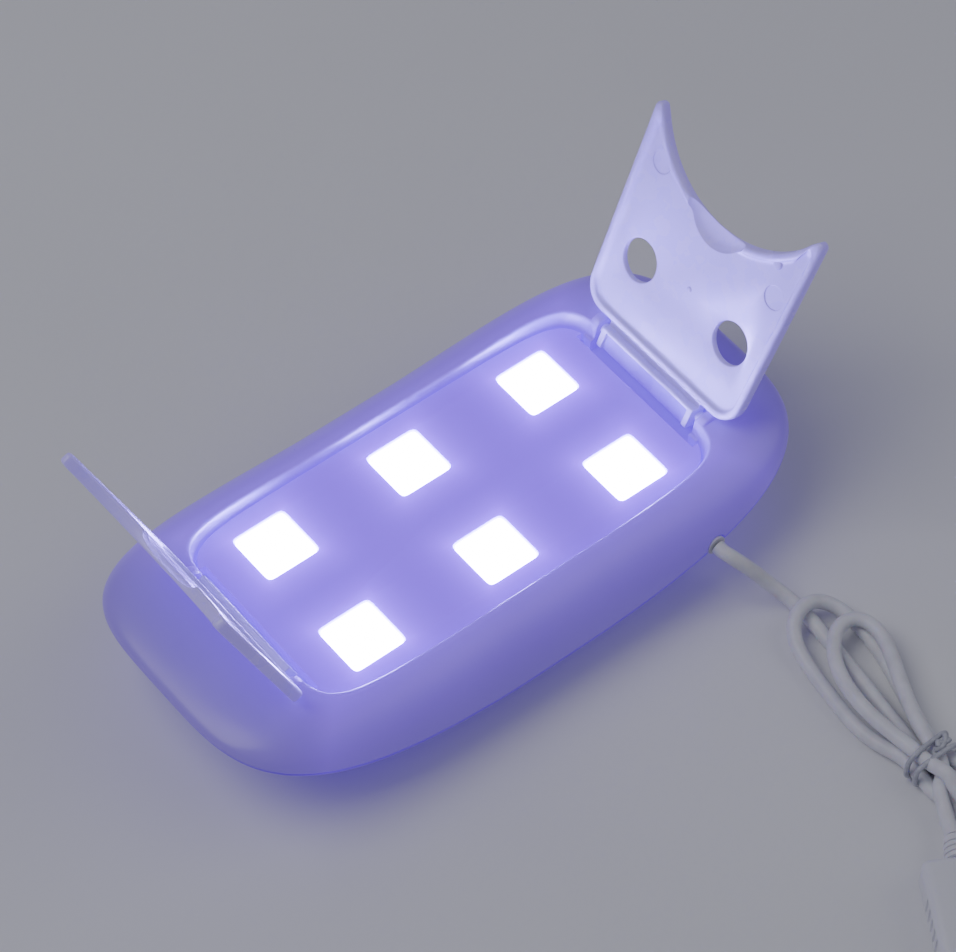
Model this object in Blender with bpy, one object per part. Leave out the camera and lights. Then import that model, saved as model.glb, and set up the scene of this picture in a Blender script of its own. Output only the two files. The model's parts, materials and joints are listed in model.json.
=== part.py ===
"""Folding USB lamp that cures gel nail polish with six ultraviolet LEDs.

The lamp lies on its domed back: +Z is up, out of the lit panel, X runs along the lamp and Y across it.
The origin is on the resting surface, under the middle of the lamp. Both legs stand open.
"""
from math import asin, atan2, cos, pi, radians, sin

import bmesh
import bpy
from mathutils import Matrix, Vector

MM = 0.001
GAP = 0.3 * MM                     # clearance between touching pieces

# Housing
BODY_HALF_LENGTH = 64.5 * MM
BODY_HALF_WIDTH = 32.8 * MM
PANEL_Z = 19.5 * MM                # top of the lit panel above the resting surface
WALL = 1.8 * MM
SEAM_MID_Z = PANEL_Z - 10.5 * MM   # the seam is the widest line of the body and rises to the ends
SEAM_RISE = 10.5 * MM
RIM_MID_Z = PANEL_Z + 1.5 * MM     # the rim around the panel dips in the middle
RIM_RISE = 1.75 * MM
DOME_DEPTH = 10.2 * MM             # seam to the tip that the resting flat cuts off, at mid length
RING_POINTS = 48

# Recess that the folded legs lie in, and the ledge under the panel
RECESS_HALF = (44.75 * MM, 22.6 * MM)
CREST_IN_HALF = (45.3 * MM, 23.05 * MM)
CREST_OUT_HALF = (46.3 * MM, 24.1 * MM)
LEDGE_HALF = (40.0 * MM, 17.0 * MM)
LEDGE_Z = PANEL_Z - 2.3 * MM
LEDGE_THICK = 1.6 * MM

# Panel and its six square windows
PANEL_HALF = (44.4 * MM, 22.25 * MM)
PANEL_THICK = 2.0 * MM
LED_X = (-30 * MM, 0.0, 30 * MM)
LED_Y = (-12.5 * MM, 12.5 * MM)
LENS_SIZE = 10.9 * MM

# Hinges
AXIS_X = 47.3 * MM
AXIS_Z = PANEL_Z + 1.6 * MM
LEG_LEAN = radians(23)             # the open leg leans out from the vertical
PIN_RADIUS = 1.1 * MM
PIN_CLEARANCE = 0.06 * MM
POCKET_HALF_WIDTH = 13.9 * MM
POCKET_X = (43.3 * MM, 49.95 * MM)
POCKET_FLOOR_Z = PANEL_Z - 2.6 * MM
SLOT_OUTER_X = 49.35 * MM          # the open leg's back stops against this edge of the shell
KNUCKLE_RADIUS = 2.5 * MM
TAB_HALF_WIDTH = 12.6 * MM

# Leg: s runs out from the hinge axis, n towards the lamp's middle when the leg is open
LEG_BASE_S = 2.9 * MM
LEG_TIP_S = 46.5 * MM
LEG_INNER_N = 1.3 * MM
LEG_THICK = 2.3 * MM
EYE_S = 17.0 * MM
EYE_Y = 12.5 * MM
EYE_RADIUS = 4.2 * MM
ARCH_CENTRE_S = 57.8 * MM
ARCH_RADIUS = 23.5 * MM

# Electronics
LED_BOARD_TOP = PANEL_Z - 4.2 * MM
LED_BOARD_HALF = (38.6 * MM, 15.8 * MM)
BOARD_THICK = 1.2 * MM
BOARD_SCREW_X = (-37 * MM, -15 * MM, 15 * MM, 37 * MM)
CONTROL_BOARD_Z = 7.6 * MM
BUTTON_RADIUS = 5.0 * MM
BUTTON_RECESS = 0.5 * MM

# USB lead
CORD_RADIUS = 1.4 * MM
EXIT_X = 35.4 * MM
LIGHT_Y = 8.0 * MM                 # indicator light beside the button
INNER_ROUTE = ((35.3, -24.3, 12.2), (34.2, -20.5, 12.2), (26.5, -12.0, 11.2), (18.0, -7.5, 10.2),
               (14.5, -6.5, 9.6))
LEAD_ROUTE = ((35.4, -32.7, 12.1), (35.6, -34.2, 11.9), (37.1, -36.9, 10.6), (39.7, -38.7, 7.0),
              (41.9, -40.9, 3.8), (43.2, -42.9, 2.2))
TAIL_ROUTE = ((33.4, -94.4, 1.9), (32.9, -96.6, 2.1), (32.1, -98.6, 2.9), (31.3, -100.1, 3.5))
PLUG_START = Vector((30.4, -101.7, 3.75)) * MM
PLUG_TURN = atan2(-0.852, -0.523)  # heading of the plug on the surface
PLUG_BODY_SIZE = (22 * MM, 14.6 * MM, 7.5 * MM)

COLOURS = {
    "white_shell": ((0.86, 0.86, 0.90), 0.28, 0.0),
    "white_leg": ((0.88, 0.88, 0.92), 0.25, 0.0),
    "white_panel": ((0.90, 0.90, 0.94), 0.35, 0.0),
    "lens": ((0.93, 0.92, 0.99), 0.15, 0.0),
    "led": ((0.92, 0.85, 0.45), 0.4, 0.0),
    "board": ((0.85, 0.87, 0.85), 0.4, 0.0),
    "steel": ((0.62, 0.63, 0.65), 0.3, 1.0),
    "black": ((0.03, 0.03, 0.035), 0.45, 0.0),
    "button": ((0.78, 0.78, 0.82), 0.3, 0.0),
    "cord": ((0.82, 0.82, 0.86), 0.5, 0.0),
    "tie": ((0.45, 0.46, 0.50), 0.4, 0.0),
}


# ---------------------------------------------------------------- scene and object helpers

def clear_scene():
    for item in list(bpy.data.objects):
        bpy.data.objects.remove(item, do_unlink=True)


def collection(name):
    new = bpy.data.collections.new(name)
    bpy.context.scene.collection.children.link(new)
    return new


def material(name):
    colour, roughness, metallic = COLOURS[name]
    made = bpy.data.materials.get(name) or bpy.data.materials.new(name)
    made.use_nodes = True
    shader = made.node_tree.nodes["Principled BSDF"]
    shader.inputs["Base Color"].default_value = (*colour, 1.0)
    shader.inputs["Roughness"].default_value = roughness
    shader.inputs["Metallic"].default_value = metallic
    return made


def object_from(name, bm, look, place=Matrix.Identity(4), smooth=True):
    """Turn a bmesh into a named part with its material and outward faces."""
    bmesh.ops.recalc_face_normals(bm, faces=bm.faces)
    mesh = bpy.data.meshes.new(name)
    bm.to_mesh(mesh)
    bm.free()
    if smooth:
        mesh.shade_smooth()
        mesh.set_sharp_from_angle(angle=radians(35))
    part = bpy.data.objects.new(name, mesh)
    part.matrix_world = place
    if look is None:
        part.hide_render = True
        part.display_type = "WIRE"
        CUTTERS.objects.link(part)
    else:
        mesh.materials.append(material(look))
        PARTS.objects.link(part)
    return part


def box_mesh(low, high, bevel=0.0):
    bm = bmesh.new()
    bmesh.ops.create_cube(bm, size=1.0)
    size = Vector(high) - Vector(low)
    middle = (Vector(high) + Vector(low)) / 2
    bmesh.ops.transform(bm, verts=bm.verts, matrix=Matrix.Translation(middle) @ Matrix.Diagonal((*size, 1)))
    if bevel:
        bmesh.ops.bevel(bm, geom=bm.edges[:], offset=bevel, segments=2, affect="EDGES", profile=0.5)
    return bm


def cylinder_mesh(radius, length, segments=24, top_radius=None):
    """Cylinder or cone along +Z with its lower end at the origin."""
    bm = bmesh.new()
    top = radius if top_radius is None else top_radius
    bmesh.ops.create_cone(bm, cap_ends=True, segments=segments, radius1=radius, radius2=top, depth=length)
    bmesh.ops.translate(bm, verts=bm.verts, vec=(0, 0, length / 2))
    return bm


def cylinder_at(name, look, radius, x, y, z_low, z_high, segments=16):
    bm = cylinder_mesh(radius, z_high - z_low, segments)
    return object_from(name, bm, look, Matrix.Translation((x, y, z_low)))


def boolean(target, tool, operation="DIFFERENCE"):
    """Apply an exact Boolean and drop the tool."""
    step = target.modifiers.new(operation.lower(), "BOOLEAN")
    step.operation = operation
    step.solver = "EXACT"
    step.object = tool
    bpy.context.view_layer.update()
    graph = bpy.context.evaluated_depsgraph_get()
    result = bpy.data.meshes.new_from_object(target.evaluated_get(graph), depsgraph=graph)
    target.modifiers.clear()
    target.data = result
    bpy.data.objects.remove(tool, do_unlink=True)


def curve_solid(name, look, outlines, thick, place=Matrix.Identity(4)):
    """Flat outline with holes, extruded to a plate centred on its own XY plane."""
    data = bpy.data.curves.new(name, "CURVE")
    data.dimensions = "2D"
    data.fill_mode = "BOTH"
    data.extrude = thick / 2
    for outline in outlines:
        spline = data.splines.new("POLY")
        spline.points.add(len(outline) - 1)
        for point, (x, y) in zip(spline.points, outline):
            point.co = (x, y, 0, 1)
        spline.use_cyclic_u = True
    curve = bpy.data.objects.new(name, data)
    PARTS.objects.link(curve)
    return mesh_from_curve(curve, name, look, place)


def tube(name, look, points, radius, place=Matrix.Identity(4)):
    """Round tube with closed ends along a list of points."""
    data = bpy.data.curves.new(name, "CURVE")
    data.dimensions = "3D"
    data.bevel_depth = radius
    data.bevel_resolution = 2
    data.use_fill_caps = True
    spline = data.splines.new("POLY")
    spline.points.add(len(points) - 1)
    for point, where in zip(spline.points, points):
        point.co = (*where, 1)
    curve = bpy.data.objects.new(name, data)
    PARTS.objects.link(curve)
    return mesh_from_curve(curve, name, look, place)


def mesh_from_curve(curve, name, look, place):
    bpy.context.view_layer.update()
    graph = bpy.context.evaluated_depsgraph_get()
    mesh = bpy.data.meshes.new_from_object(curve.evaluated_get(graph), depsgraph=graph)
    bpy.data.objects.remove(curve, do_unlink=True)
    bm = bmesh.new()
    bm.from_mesh(mesh)
    bpy.data.meshes.remove(mesh)
    bmesh.ops.remove_doubles(bm, verts=bm.verts, dist=0.00002)
    return object_from(name, bm, look, place)


# ---------------------------------------------------------------- curves of the housing

def superellipse(half, power_x, power_y, count=RING_POINTS):
    """Closed outline |x/a|^px + |y/b|^py = 1 as (x, y) pairs."""
    points = []
    for i in range(count):
        angle = 2 * pi * (i + 0.5) / count
        c, s = cos(angle), sin(angle)
        x = half[0] * abs(c) ** (2 / power_x) * (1 if c > 0 else -1)
        y = half[1] * abs(s) ** (2 / power_y) * (1 if s > 0 else -1)
        points.append((x, y))
    return points


def seam_z(x):
    return SEAM_MID_Z + SEAM_RISE * (x / BODY_HALF_LENGTH) ** 2


def rim_z(x):
    return RIM_MID_Z + RIM_RISE * (x / CREST_OUT_HALF[0]) ** 2


WIDEST = superellipse((BODY_HALF_LENGTH, BODY_HALF_WIDTH), 4.3, 3.9)
SEAM_INSIDE = superellipse((BODY_HALF_LENGTH - WALL, BODY_HALF_WIDTH - WALL), 4.3, 3.9)


def blend_ring(inner, outer, angle, power_x, power_y):
    """Ring on the crown: the crest outline at 90 degrees, the widest outline at 0."""
    kx = cos(angle) ** (2 / power_x)
    ky = cos(angle) ** (2 / power_y)
    ring = []
    for (x0, y0), (x1, y1) in zip(inner, outer):
        x = x0 + (x1 - x0) * kx
        y = y0 + (y1 - y0) * ky
        z = seam_z(x1) + (rim_z(x0) - seam_z(x1)) * sin(angle)
        ring.append(Vector((x, y, z)))
    return ring


def dome_ring(outline, angle, flat_z, depth):
    """Ring on the dome below the seam, cut off by the flat."""
    ring = []
    for x, y in outline:
        tip = seam_z(0) - depth
        shrink = cos(angle) ** 1.38
        drop = sin(angle) ** 1.38
        z = seam_z(x) - GAP - (seam_z(x) - GAP - tip) * drop
        ring.append(Vector((x * shrink, y * shrink, max(z, flat_z))))
    return ring


def flat_ring(outline, z):
    return [Vector((x, y, z(x) if callable(z) else z)) for x, y in outline]


def loft(rings, closed):
    """Skin over a list of rings; closed joins the last ring to the first, else both ends are capped."""
    bm = bmesh.new()
    layers = [[bm.verts.new(point) for point in ring] for ring in rings]
    pairs = list(zip(layers, layers[1:]))
    if closed:
        pairs.append((layers[-1], layers[0]))
    else:
        bm.faces.new(layers[0])
        bm.faces.new(layers[-1])
    count = len(layers[0])
    for low, high in pairs:
        for i in range(count):
            j = (i + 1) % count
            bm.faces.new((low[i], low[j], high[j], high[i]))
    return bm


# ---------------------------------------------------------------- housing

def make_base_shell():
    """White ring that surrounds the panel: crown, rim, ledge and the two hinge pockets."""
    crest = superellipse(CREST_OUT_HALF, 8, 8)
    crest_in = superellipse(CREST_IN_HALF, 8, 8)
    inner_crest = superellipse((CREST_OUT_HALF[0] + 0.4 * MM, CREST_OUT_HALF[1] + 0.2 * MM), 8, 8)
    recess = superellipse(RECESS_HALF, 8, 8)
    ledge = superellipse(LEDGE_HALF, 8, 8)
    rings = [blend_ring(crest, WIDEST, radians(a), 2.6, 1.5) for a in (0, 13, 27, 41, 55, 69, 81)]
    rings.append(flat_ring(crest, rim_z))
    rings.append(flat_ring(crest_in, lambda x: rim_z(x) - 0.15 * MM))
    rings.append(flat_ring(recess, PANEL_Z - 0.2 * MM))
    rings.append(flat_ring(recess, LEDGE_Z))
    rings.append(flat_ring(ledge, LEDGE_Z))
    rings.append(flat_ring(ledge, LEDGE_Z - LEDGE_THICK))
    rings.append(flat_ring(inner_crest, LEDGE_Z - LEDGE_THICK))
    for angle in (66, 40, 18):
        inside = blend_ring(inner_crest, SEAM_INSIDE, radians(angle), 2.6, 1.5)
        rings.append([point - Vector((0, 0, WALL * sin(radians(angle)))) for point in inside])
    rings.append(flat_ring(SEAM_INSIDE, seam_z))
    shell = object_from("base_shell", loft(rings, closed=True), "white_shell")
    for side in (-1, 1):
        add_hinge_pocket(shell, side)
    for x in (-20 * MM, 20 * MM):
        for y in (-19.4 * MM, 19.4 * MM):
            boss = cylinder_at("boss", None, 2.7 * MM, x, y, LEDGE_Z - 6.0 * MM, LEDGE_Z - 0.4 * MM)
            boolean(shell, boss, "UNION")
            boolean(shell, cylinder_at("bore", None, 1.15 * MM, x, y, LEDGE_Z - 7 * MM, PANEL_Z))
            boolean(shell, cylinder_at("head_bore", None, 2.1 * MM, x, y, LEDGE_Z - 1.7 * MM, PANEL_Z))
    cut_cord_hole(shell)
    return shell


def add_hinge_pocket(shell, side):
    """Pocket at one end between two knuckle posts that carry the leg's pins."""
    wall = 1.4 * MM
    near, far = POCKET_X
    outside = POCKET_HALF_WIDTH + 2.2 * MM

    def block(name, x0, x1, half, z0, z1, bevel=0.0):
        low, high = sorted((side * x0, side * x1))
        return object_from(name, box_mesh((low, -half, z0), (high, half, z1), bevel), None)

    low_z = POCKET_FLOOR_Z - wall
    boolean(shell, block("lower", near - 1.5 * MM, far + wall, outside, low_z, LEDGE_Z - 0.5 * MM), "UNION")
    boolean(shell, block("upper", AXIS_X - 2 * MM, far + wall, outside, LEDGE_Z - MM, AXIS_Z), "UNION")
    foot = block("foot", 43.9 * MM, AXIS_X, outside, LEDGE_Z - 0.7 * MM, PANEL_Z + 0.1 * MM, 0.3 * MM)
    boolean(shell, foot, "UNION")
    barrel = cylinder_mesh(KNUCKLE_RADIUS, 2 * outside, 32)
    turn = Matrix.Translation((side * AXIS_X, -outside, AXIS_Z)) @ Matrix.Rotation(radians(-90), 4, "X")
    boolean(shell, object_from("knuckle", barrel, None, turn), "UNION")
    boolean(shell, block("pocket", near, far, POCKET_HALF_WIDTH, POCKET_FLOOR_Z, AXIS_Z + 0.6 * MM))
    boolean(shell, block("slot", near, SLOT_OUTER_X, POCKET_HALF_WIDTH, AXIS_Z, PANEL_Z + 9 * MM))
    for y in (-1, 1):
        bore = cylinder_mesh(PIN_RADIUS + PIN_CLEARANCE, 1.9 * MM, 24)
        turn = Matrix.Rotation(radians(-90 * y), 4, "X")
        spot = Matrix.Translation((side * AXIS_X, y * (POCKET_HALF_WIDTH - 0.2 * MM), AXIS_Z))
        boolean(shell, object_from("pin_bore", bore, None, spot @ turn))


def cut_cord_hole(shell):
    """Round hole across the seam that the cord's grommet sits in."""
    hole = cylinder_mesh(2.2 * MM, 12 * MM, 24)
    spot = Matrix.Translation((EXIT_X, -BODY_HALF_WIDTH - 3 * MM, seam_z(EXIT_X)))
    boolean(shell, object_from("cord_hole", hole, None, spot @ Matrix.Rotation(radians(-90), 4, "X")))


def make_top_shell():
    """Domed back: the lamp rests on its small flat, and the button sits in the middle of it."""
    angles = (0, 10, 20, 31, 42, 53, 62, 68, 74)
    outer = [dome_ring(WIDEST, radians(a), 0.0, DOME_DEPTH) for a in angles]
    inner = [dome_ring(SEAM_INSIDE, radians(a), WALL, DOME_DEPTH - WALL) for a in angles]
    rings = list(reversed(outer)) + inner
    shell = object_from("top_shell", loft(rings, closed=False), "white_shell")
    for x in (-20 * MM, 20 * MM):
        for y in (-19.4 * MM, 19.4 * MM):
            post_top = LEDGE_Z - 6.3 * MM
            boolean(shell, cylinder_at("post", None, 2.6 * MM, x, y, 4.6 * MM, post_top), "UNION")
            boolean(shell, cylinder_at("post_bore", None, 0.95 * MM, x, y, 6.0 * MM, post_top + MM))
    for x in (-11 * MM, 11 * MM):
        post = cylinder_at("board_post", None, 2.0 * MM, x, 0, 1.2 * MM, CONTROL_BOARD_Z - GAP)
        boolean(shell, post, "UNION")
        boolean(shell, cylinder_at("board_bore", None, 0.75 * MM, x, 0, 3.0 * MM, CONTROL_BOARD_Z + MM))
    boolean(shell, cylinder_at("button_hole", None, BUTTON_RADIUS + 0.25 * MM, 0, 0, -MM, 4 * MM, 32))
    boolean(shell, cylinder_at("light_hole", None, 1.1 * MM, 0, LIGHT_Y, -MM, 4 * MM))
    cut_cord_hole(shell)
    return shell


def make_panel():
    """White plate in the recess with six square windows and four screw posts underneath."""
    holes = []
    half = LENS_SIZE / 2 + 0.25 * MM
    for x in LED_X:
        for y in LED_Y:
            holes.append([(x + px, y + py) for px, py in superellipse((half, half), 7, 7, 16)])
    middle = PANEL_Z - PANEL_THICK / 2
    panel = curve_solid("led_panel", "white_panel", [superellipse(PANEL_HALF, 8, 8)] + holes, PANEL_THICK,
                        Matrix.Translation((0, 0, middle)))
    for side in (-1, 1):
        low, high = sorted((side * 42.6 * MM, side * 50 * MM))
        cut = box_mesh((low, -16.5 * MM, LEDGE_Z - MM), (high, 16.5 * MM, PANEL_Z + MM))
        boolean(panel, object_from("end_cut", cut, None))
    for x in BOARD_SCREW_X:
        post = cylinder_at("post", None, 2.2 * MM, x, 0, LED_BOARD_TOP + 0.2 * MM, PANEL_Z - MM)
        boolean(panel, post, "UNION")
        boolean(panel, cylinder_at("bore", None, 0.75 * MM, x, 0, LED_BOARD_TOP - MM, PANEL_Z - 0.7 * MM))
    return panel


# ---------------------------------------------------------------- legs

def leg_outline(inset=0.0):
    """Cat's head seen flat: bottom edge, sides that spread slightly, two ears and the arch between them."""
    corner = 5.5 * MM - inset
    base = LEG_BASE_S + inset
    half = 20.9 * MM - inset
    ear_y = 22.3 * MM - inset
    tip = LEG_TIP_S - 2 * inset
    ear = 1.0 * MM
    arch = ARCH_RADIUS + inset
    right = []
    for i in range(7):
        angle = radians(-90 + 90 * i / 6)
        right.append((base + corner + corner * sin(angle), half - corner + corner * cos(angle)))
    for i in range(5):
        angle = radians(10 + 100 * i / 4)
        right.append((tip - ear + ear * sin(angle), ear_y - ear + ear * cos(angle)))
    start = asin((ear_y - 2.5 * MM) / arch)
    for i in range(12):
        angle = start * (1 - i / 12)
        right.append((ARCH_CENTRE_S - arch * cos(angle), arch * sin(angle)))
    left = [(s, -y) for s, y in reversed(right)]
    return right + [(ARCH_CENTRE_S - arch, 0.0)] + left


def circle(x, y, radius, count=24):
    angles = [2 * pi * i / count for i in range(count)]
    return [(x + radius * cos(angle), y + radius * sin(angle)) for angle in angles]


def make_scoop():
    """Shallow round bowl that takes a fingertip at the middle of the arch."""
    profile = ((7.9, -1.0), (7.75, 0.0), (7.2, 0.85), (6.3, 1.3), (4.9, 1.65), (3.0, 1.85), (1.2, 1.9))
    rings = []
    for radius, depth in profile:
        outline = circle(37.0 * MM, 0.0, radius * MM, 32)
        rings.append([Vector((s, y, LEG_INNER_N - depth * MM)) for s, y in outline])
    return object_from("scoop", loft(rings, closed=False), None)


def make_tab(back, half):
    """Block between the knuckles, thicker towards the lamp's middle and chamfered at the back."""
    front = 2.6 * MM
    bottom, top = -2.45 * MM, 1.9 * MM
    soft = 0.25 * MM
    section = ((bottom + soft, front), (top - soft, front), (top, front - soft), (top, back),
               (-0.6 * MM, back), (bottom, -0.1 * MM), (bottom, front - soft))
    rings = [[Vector((s, y, n)) for s, n in section] for y in (-half, half)]
    return object_from("tab", loft(rings, closed=False), None)


def make_leg(name, side):
    """Leg in its own frame: s is local X, y is local Y and n is local Z, with the hinge axis on Y."""
    eyes = [circle(EYE_S, y, EYE_RADIUS) for y in (-EYE_Y, EYE_Y)]
    middle = LEG_INNER_N - LEG_THICK / 2
    outlines = [leg_outline()] + eyes
    leg = curve_solid(name, "white_leg", outlines, LEG_THICK, Matrix.Translation((0, 0, middle)))
    floor = leg_outline(1.75 * MM)
    pan = curve_solid("pan", "white_leg", [floor], 1.7 * MM, Matrix.Translation((0, 0, LEG_INNER_N)))
    leg.data.transform(leg.matrix_world)
    leg.matrix_world = Matrix.Identity(4)
    boolean(leg, pan)
    boolean(leg, make_scoop())
    half = TAB_HALF_WIDTH
    back = LEG_INNER_N - LEG_THICK + 0.03 * MM
    neck = box_mesh((0, -half, back), (LEG_BASE_S + 1.2 * MM, half, 1.0 * MM))
    boolean(leg, object_from("neck", neck, None), "UNION")
    boolean(leg, make_tab(back, half), "UNION")
    dish = box_mesh((-5 * MM, 1.2 * MM - half, 2.15 * MM), (1.2 * MM, half - 1.2 * MM, 4 * MM))
    boolean(leg, object_from("dish", dish, None))
    for y in (-1, 1):
        pin = cylinder_mesh(PIN_RADIUS, 3.2 * MM, 24)
        place = Matrix.Translation((0, y * (half - 0.5 * MM), 0)) @ Matrix.Rotation(radians(-90 * y), 4, "X")
        boolean(leg, object_from("pin", pin, None, place), "UNION")
    along = Vector((side * sin(LEG_LEAN), 0, cos(LEG_LEAN)))
    inwards = Vector((-side * cos(LEG_LEAN), 0, sin(LEG_LEAN)))
    across = inwards.cross(along)
    turn = Matrix((along, across, inwards)).transposed().to_4x4()
    leg.matrix_world = Matrix.Translation((side * AXIS_X, 0, AXIS_Z)) @ turn
    return leg


# ---------------------------------------------------------------- electronics

def make_leds():
    """Six LED packages on their board, each under a square lens."""
    board = box_mesh((-LED_BOARD_HALF[0], -LED_BOARD_HALF[1], LED_BOARD_TOP - BOARD_THICK),
                     (LED_BOARD_HALF[0], LED_BOARD_HALF[1], LED_BOARD_TOP))
    led_board = object_from("led_board", board, "board", smooth=False)
    for x in BOARD_SCREW_X:
        hole = cylinder_at("hole", None, 0.95 * MM, x, 0, LED_BOARD_TOP - 3 * MM, LED_BOARD_TOP + MM)
        boolean(led_board, hole)
    number = 0
    for y in LED_Y:
        for x in LED_X:
            number += 1
            size = 2.8 * MM
            base = LED_BOARD_TOP + 0.1 * MM
            package = box_mesh((x - size, y - size, base), (x + size, y + size, base + 1.5 * MM), 0.2 * MM)
            object_from(f"led_{number}", package, "led")
            half = LENS_SIZE / 2
            curve_solid(f"led_lens_{number}", "lens", [superellipse((half, half), 7, 7, 16)], 2.0 * MM,
                        Matrix.Translation((x, y, PANEL_Z - 1.1 * MM)))


def make_screw(name, x, y, head_z, direction, head_radius, shank_radius, length):
    """Pan-head screw; the head's seat is at head_z and the shank runs along direction (+1 or -1)."""
    head = cylinder_mesh(head_radius, 1.2 * MM, 16, head_radius * 0.75)
    turn = Matrix.Rotation(pi, 4, "X") if direction > 0 else Matrix.Identity(4)
    screw = object_from(name, head, "steel", Matrix.Translation((x, y, head_z)) @ turn)
    low, high = sorted((head_z - direction * 0.2 * MM, head_z + direction * length))
    boolean(screw, cylinder_at("shank", None, shank_radius, x, y, low, high, 12), "UNION")
    face = head_z - direction * 1.2 * MM
    slots = ((1.1 * MM, 0.22 * MM), (0.22 * MM, 1.1 * MM))
    for half_x, half_y in slots:
        slot = box_mesh((x - half_x, y - half_y, face - 0.4 * MM), (x + half_x, y + half_y, face + 0.4 * MM))
        boolean(screw, object_from("slot", slot, None))
    return screw


def make_screws():
    seat = LED_BOARD_TOP - BOARD_THICK - 0.1 * MM
    for number, x in enumerate(BOARD_SCREW_X, 1):
        make_screw(f"led_board_screw_{number}", x, 0, seat, 1, 1.5 * MM, 0.65 * MM, 3.6 * MM)
    number = 0
    for x in (-20 * MM, 20 * MM):
        for y in (-19.4 * MM, 19.4 * MM):
            number += 1
            make_screw(f"case_screw_{number}", x, y, LEDGE_Z - 1.6 * MM, -1, 1.9 * MM, 0.85 * MM, 8.0 * MM)
    for number, x in enumerate((-11 * MM, 11 * MM), 1):
        seat = CONTROL_BOARD_Z + BOARD_THICK + 0.1 * MM
        make_screw(f"control_board_screw_{number}", x, 0, seat, -1, 1.5 * MM, 0.65 * MM, 4.6 * MM)


def make_control_board():
    """Small board over the button: timer chip, switch transistor and capacitor on top, tact switch below."""
    top = CONTROL_BOARD_Z + BOARD_THICK
    slab = box_mesh((-14 * MM, -10 * MM, CONTROL_BOARD_Z), (14 * MM, 10 * MM, top))
    board = object_from("control_board", slab, "board", smooth=False)
    for x in (-11 * MM, 11 * MM):
        boolean(board, cylinder_at("hole", None, 0.95 * MM, x, 0, CONTROL_BOARD_Z - MM, top + MM))
    up = top + 0.1 * MM
    chip = box_mesh((-2.5 * MM, -6.9 * MM, up), (2.5 * MM, -3.1 * MM, up + 1.5 * MM), 0.15 * MM)
    object_from("timer_chip", chip, "black")
    transistor = box_mesh((-3 * MM, 3.5 * MM, up), (0, 5.0 * MM, up + 1.1 * MM), 0.15 * MM)
    object_from("switch_transistor", transistor, "black")
    cylinder_at("smoothing_capacitor", "steel", 2.0 * MM, 5.5 * MM, 5.5 * MM, up, up + 4.0 * MM)
    switch = box_mesh((-3 * MM, -3 * MM, 4.3 * MM), (3 * MM, 3 * MM, 7.4 * MM), 0.2 * MM)
    body = object_from("tact_switch_body", switch, "black")
    boolean(body, cylinder_at("well", None, 1.75 * MM, 0, 0, 3 * MM, 6.2 * MM))
    cylinder_at("tact_switch_stem", "button", 1.6 * MM, 0, 0, 3.5 * MM, 5.6 * MM)
    low = CONTROL_BOARD_Z - 0.8 * MM
    lamp = box_mesh((-0.8 * MM, LIGHT_Y - 0.4 * MM, low), (0.8 * MM, LIGHT_Y + 0.4 * MM, low + 0.7 * MM))
    object_from("indicator_led", lamp, "led")


def make_button():
    """Round cap with a flange inside the shell and a stub that reaches the switch stem."""
    low = BUTTON_RECESS
    button = cylinder_at("power_button", "button", BUTTON_RADIUS, 0, 0, low, 2.2 * MM, 32)
    boolean(button, cylinder_at("flange", None, 6.2 * MM, 0, 0, 2.1 * MM, 2.7 * MM, 32), "UNION")
    boolean(button, cylinder_at("stub", None, 1.5 * MM, 0, 0, 2.4 * MM, 3.2 * MM), "UNION")
    light = cylinder_at("indicator_light_pipe", "lens", 0.85 * MM, 0, LIGHT_Y, 0.4 * MM, 6.4 * MM, 12)
    boolean(light, cylinder_at("collar", None, 1.5 * MM, 0, LIGHT_Y, 2.1 * MM, 2.9 * MM, 12), "UNION")


# ---------------------------------------------------------------- USB lead

def smooth_path(route, step):
    """Points about step apart on a Catmull-Rom curve through the route's own points."""
    knots = [Vector(p) * MM for p in route]
    ends = [knots[0] * 2 - knots[1]] + knots + [knots[-1] * 2 - knots[-2]]
    path = [knots[0]]
    for i in range(len(knots) - 1):
        a, b, c, d = ends[i:i + 4]
        pieces = max(1, round((c - b).length / step))
        for k in range(1, pieces + 1):
            t = k / pieces
            path.append(0.5 * ((2 * b) + (c - a) * t + (2 * a - 5 * b + 4 * c - d) * t ** 2
                               + (3 * b - a - 3 * c + d) * t ** 3))
    return path


def make_lead():
    """Grommet, the cord's free ends, the tied hank and the USB plug."""
    seat = Matrix.Translation((EXIT_X, -32.3 * MM, seam_z(EXIT_X))) @ Matrix.Rotation(radians(-90), 4, "X")
    grommet = object_from("cord_grommet", cylinder_mesh(1.95 * MM, 7.1 * MM, 24), "cord", seat)
    inside = seat @ Matrix.Translation((0, 0, 6.0 * MM))
    collar = object_from("collar", cylinder_mesh(2.7 * MM, 1.1 * MM, 24), None, inside)
    boolean(grommet, collar, "UNION")
    tube("inner_lead", "cord", smooth_path(INNER_ROUTE, 6 * MM), CORD_RADIUS)
    tube("usb_cord_lead", "cord", smooth_path(LEAD_ROUTE, 5 * MM), CORD_RADIUS)
    tube("usb_cord_tail", "cord", smooth_path(TAIL_ROUTE, 5 * MM), CORD_RADIUS)
    outline = hank_outline()
    curve_solid("usb_cord_hank", "cord", [outline], 5.4 * MM, Matrix.Translation((0, 0, 3.5 * MM)))
    make_tie()
    make_plug()


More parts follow.
